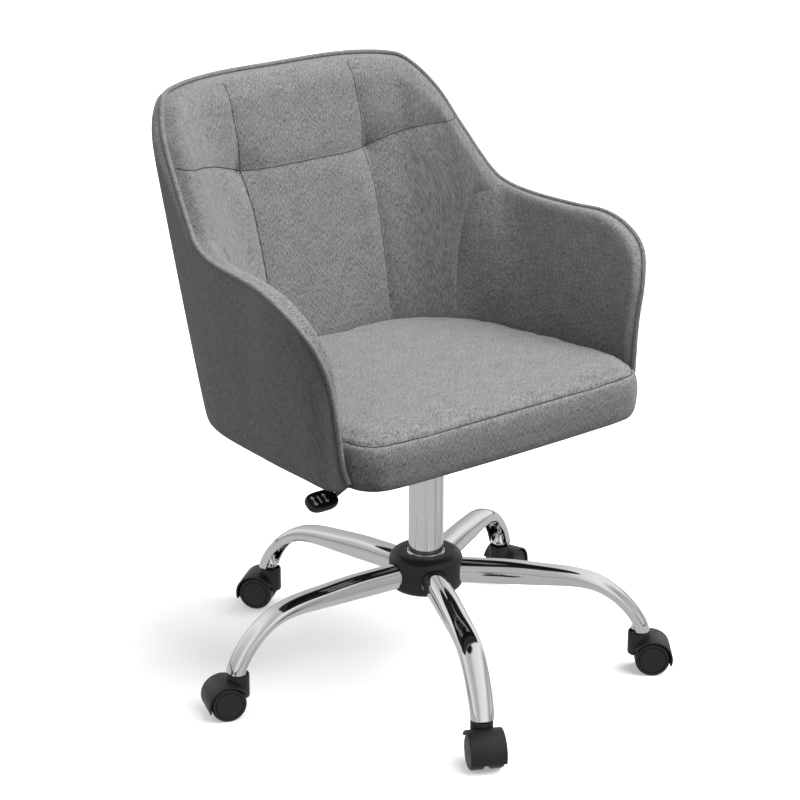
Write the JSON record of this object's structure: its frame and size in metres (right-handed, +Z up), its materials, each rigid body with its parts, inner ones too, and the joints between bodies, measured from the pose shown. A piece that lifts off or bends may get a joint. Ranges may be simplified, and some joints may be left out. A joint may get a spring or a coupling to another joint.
{
  "type": "swivel office chair",
  "caption": "Upholstered bucket-shell office chair with arms, on a height-adjustable gas column and a five-leg caster base.",
  "frame": {"origin": "middle of the footprint, on the floor", "axes": "+Z up, front of the seat towards -Y, the sitter's right at -X"},
  "size_m": [0.6762, 0.692, 0.8199],
  "materials": {
    "chrome_tube": "bright chrome plate, mirror-like with a soft wave in the reflections",
    "black_plastic": "moulded black plastic, satin",
    "seat_cloth": "mid grey linen-look weave with a fine darker fleck",
    "outer_cloth": "darker grey linen-look weave, same cloth as the seat in a darker dye lot",
    "frame_ply": "plain plywood, unfinished",
    "steel_part": "plain bright steel",
    "painted_steel": "black powder coat",
    "zinc_bolt": "zinc-plated steel",
    "base_cloth": "thin black non-woven dust cloth"
  },
  "bodies": {
    "base": {"hub_cover": "black_plastic", "hub_sleeve": "chrome_tube", "leg_1": "chrome_tube", "leg_2": "chrome_tube", "leg_3": "chrome_tube", "leg_4": "chrome_tube", "leg_5": "chrome_tube", "column_tube": "chrome_tube", "column_bush": "black_plastic", "thrust_bearing": "steel_part", "caster_stem_1": "steel_part", "caster_stem_2": "steel_part", "caster_stem_3": "steel_part", "caster_stem_4": "steel_part", "caster_stem_5": "steel_part"},
    "rod": {"piston_rod": "steel_part", "column_clip": "steel_part"},
    "mechanism": {"gas_cylinder": "chrome_tube", "mechanism_housing": "painted_steel", "tilt_pin": "steel_part", "tension_spring": "steel_part"},
    "button": {"release_button": "steel_part"},
    "lever": {"lever_rod": "steel_part", "lever_paddle": "black_plastic"},
    "knob": {"tension_knob": "black_plastic"},
    "seat": {"seat_plate": "steel_part", "seat_bolt_1": "zinc_bolt", "seat_bolt_2": "zinc_bolt", "seat_bolt_3": "zinc_bolt", "seat_bolt_4": "zinc_bolt", "seat_board": "frame_ply", "dust_cover": "base_cloth", "seat_cushion": "seat_cloth", "shell_frame": "frame_ply", "outer_shell": "outer_cloth", "back_pad": "seat_cloth", "arm_pad_left": "seat_cloth", "arm_pad_right": "seat_cloth", "piping": "seat_cloth"},
    "caster_1": {"caster_hood_1": "black_plastic", "caster_axle_1": "steel_part"},
    "wheel_1a": {"caster_wheel_1a": "black_plastic"},
    "wheel_1b": {"caster_wheel_1b": "black_plastic"},
    "caster_2": {"caster_hood_2": "black_plastic", "caster_axle_2": "steel_part"},
    "wheel_2a": {"caster_wheel_2a": "black_plastic"},
    "wheel_2b": {"caster_wheel_2b": "black_plastic"},
    "caster_3": {"caster_hood_3": "black_plastic", "caster_axle_3": "steel_part"},
    "wheel_3a": {"caster_wheel_3a": "black_plastic"},
    "wheel_3b": {"caster_wheel_3b": "black_plastic"},
    "caster_4": {"caster_hood_4": "black_plastic", "caster_axle_4": "steel_part"},
    "wheel_4a": {"caster_wheel_4a": "black_plastic"},
    "wheel_4b": {"caster_wheel_4b": "black_plastic"},
    "caster_5": {"caster_hood_5": "black_plastic", "caster_axle_5": "steel_part"},
    "wheel_5a": {"caster_wheel_5a": "black_plastic"},
    "wheel_5b": {"caster_wheel_5b": "black_plastic"}
  },
  "joints": [
    {"name": "seat_swivel", "type": "hinge", "parent": "base", "child": "rod", "pos_m": [0.01831, -0.01514, 0.118], "axis": [0, 0, 1], "continuous": true},
    {"name": "seat_height", "type": "slide", "parent": "rod", "child": "mechanism", "axis": [0, 0, 1], "range_m": [0, 0.1]},
    {"name": "seat_tilt", "type": "hinge", "parent": "mechanism", "child": "seat", "pos_m": [0.01831, -0.07514, 0.348], "axis": [-1, 0, 0], "range_deg": [0, 9], "stiffness_Nm_per_rad": 150, "springref_deg": -14.32, "deforming": ["tension_spring"]},
    {"name": "lever_lift", "type": "hinge", "parent": "mechanism", "child": "lever", "pos_m": [-0.01469, -0.01514, 0.352], "axis": [0, 1, 0], "range_deg": [0, 3], "stiffness_Nm_per_rad": 3, "springref_deg": -14.32},
    {"name": "button_press", "type": "slide", "parent": "mechanism", "child": "button", "axis": [0, 0, -1], "range_m": [0, 0.0018], "stiffness_N_per_m": 400, "springref_m": -0.002},
    {"name": "tension_turn", "type": "hinge", "parent": "mechanism", "child": "knob", "pos_m": [0.01831, 0.03686, 0.3232], "axis": [0, 0, 1], "range_deg": [0, 720]},
    {"name": "caster_swivel_1", "type": "hinge", "parent": "base", "child": "caster_1", "pos_m": [-0.04093, 0.28405, 0.05], "axis": [0, 0, 1], "continuous": true},
    {"name": "wheel_spin_1a", "type": "hinge", "parent": "caster_1", "child": "wheel_1a", "pos_m": [-0.05263, 0.29902, 0.025], "axis": [0.788, 0.6157, 0], "continuous": true},
    {"name": "wheel_spin_1b", "type": "hinge", "parent": "caster_1", "child": "wheel_1b", "pos_m": [-0.05263, 0.29902, 0.025], "axis": [0.788, 0.6157, 0], "continuous": true},
    {"name": "caster_swivel_2", "type": "hinge", "parent": "base", "child": "caster_2", "pos_m": [-0.28454, 0.02097, 0.05], "axis": [0, 0, 1], "continuous": true},
    {"name": "wheel_spin_2a", "type": "hinge", "parent": "caster_2", "child": "wheel_2a", "pos_m": [-0.3024, 0.02747, 0.025], "axis": [0.342, 0.9397, 0], "continuous": true},
    {"name": "wheel_spin_2b", "type": "hinge", "parent": "caster_2", "child": "wheel_2b", "pos_m": [-0.3024, 0.02747, 0.025], "axis": [0.342, 0.9397, 0], "continuous": true},
    {"name": "caster_swivel_3", "type": "hinge", "parent": "base", "child": "caster_3", "pos_m": [-0.10962, -0.29201, 0.05], "axis": [0, 0, 1], "continuous": true},
    {"name": "wheel_spin_3a", "type": "hinge", "parent": "caster_3", "child": "wheel_3a", "pos_m": [-0.11825, -0.30894, 0.025], "axis": [-0.891, 0.454, 0], "continuous": true},
    {"name": "wheel_spin_3b", "type": "hinge", "parent": "caster_3", "child": "wheel_3b", "pos_m": [-0.11825, -0.30894, 0.025], "axis": [-0.891, 0.454, 0], "continuous": true},
    {"name": "caster_swivel_4", "type": "hinge", "parent": "base", "child": "caster_4", "pos_m": [0.2421, -0.22237, 0.05], "axis": [0, 0, 1], "continuous": true},
    {"name": "wheel_spin_4a", "type": "hinge", "parent": "caster_4", "child": "wheel_4a", "pos_m": [0.25707, -0.23407, 0.025], "axis": [-0.6157, -0.788, 0], "continuous": true},
    {"name": "wheel_spin_4b", "type": "hinge", "parent": "caster_4", "child": "wheel_4b", "pos_m": [0.25707, -0.23407, 0.025], "axis": [-0.6157, -0.788, 0], "continuous": true},
    {"name": "caster_swivel_5", "type": "hinge", "parent": "base", "child": "caster_5", "pos_m": [0.28455, 0.13366, 0.05], "axis": [0, 0, 1], "continuous": true},
    {"name": "wheel_spin_5a", "type": "hinge", "parent": "caster_5", "child": "wheel_5a", "pos_m": [0.30241, 0.14016, 0.025], "axis": [0.342, -0.9397, 0], "continuous": true},
    {"name": "wheel_spin_5b", "type": "hinge", "parent": "caster_5", "child": "wheel_5b", "pos_m": [0.30241, 0.14016, 0.025], "axis": [0.342, -0.9397, 0], "continuous": true}
  ],
  "couplings": [
    {"joint": "button_press", "follows": "lever_lift", "m_per_rad": 0.033}
  ]
}
